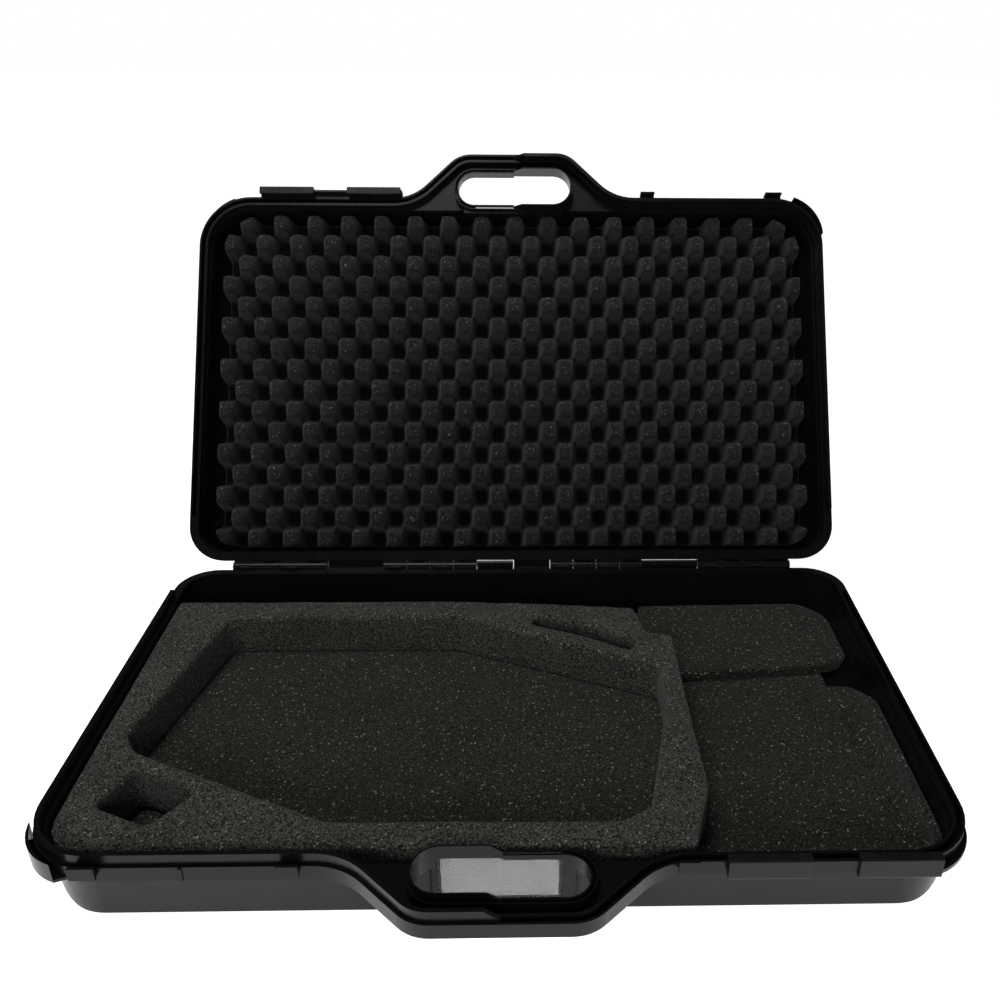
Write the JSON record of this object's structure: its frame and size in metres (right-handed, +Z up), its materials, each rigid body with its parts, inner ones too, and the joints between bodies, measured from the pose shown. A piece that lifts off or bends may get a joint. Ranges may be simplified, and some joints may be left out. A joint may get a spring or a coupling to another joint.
{
  "type": "hard plastic carrying case",
  "caption": "Open black hard-plastic carrying case with handle, hinged lid, sliding latches and cut-out foam inserts for a heavy power tool.",
  "frame": {"origin": "centre of the base's flat bottom face, on the ground", "axes": "+X to the right seen from the handle side, +Y from the handle toward the hinge, +Z up"},
  "size_m": [0.6, 0.6301, 0.3869],
  "materials": {
    "shell_plastic": "satin moulded polypropylene",
    "latch_plastic": "satin moulded plastic",
    "steel": "drawn steel",
    "clear_plastic": "clear moulded plastic",
    "card": "matt card",
    "foam": "open-cell foam"
  },
  "bodies": {
    "base": {"base_shell": "shell_plastic", "hinge_pin_1": "steel", "hinge_pin_2": "steel", "hinge_pin_3": "steel", "hinge_pin_4": "steel", "label_window": "clear_plastic", "label_card": "card", "bottom_foam_sheet": "foam", "foam_block": "foam", "loose_foam_pad": "foam"},
    "lid": {"lid_shell": "shell_plastic", "lid_foam": "foam"},
    "base_inner_latch": {"base_latch_inner": "latch_plastic"},
    "base_outer_latch": {"base_latch_outer": "latch_plastic"},
    "lid_inner_latch": {"lid_latch_inner": "latch_plastic"},
    "lid_outer_latch": {"lid_latch_outer": "latch_plastic"}
  },
  "joints": [
    {"name": "lid_hinge", "type": "hinge", "parent": "base", "child": "lid", "pos_m": [0, 0.1805, 0.049], "axis": [1, 0, 0], "range_deg": [0, 123]},
    {"name": "base_inner_slide", "type": "slide", "parent": "base", "child": "base_inner_latch", "axis": [-1, 0, 0], "range_m": [0, 0.028]},
    {"name": "base_outer_slide", "type": "slide", "parent": "base", "child": "base_outer_latch", "axis": [-1, 0, 0], "range_m": [0, 0.025]},
    {"name": "lid_inner_slide", "type": "slide", "parent": "lid", "child": "lid_inner_latch", "axis": [-1, 0, 0], "range_m": [0, 0.028]},
    {"name": "lid_outer_slide", "type": "slide", "parent": "lid", "child": "lid_outer_latch", "axis": [-1, 0, 0], "range_m": [0, 0.025]}
  ]
}
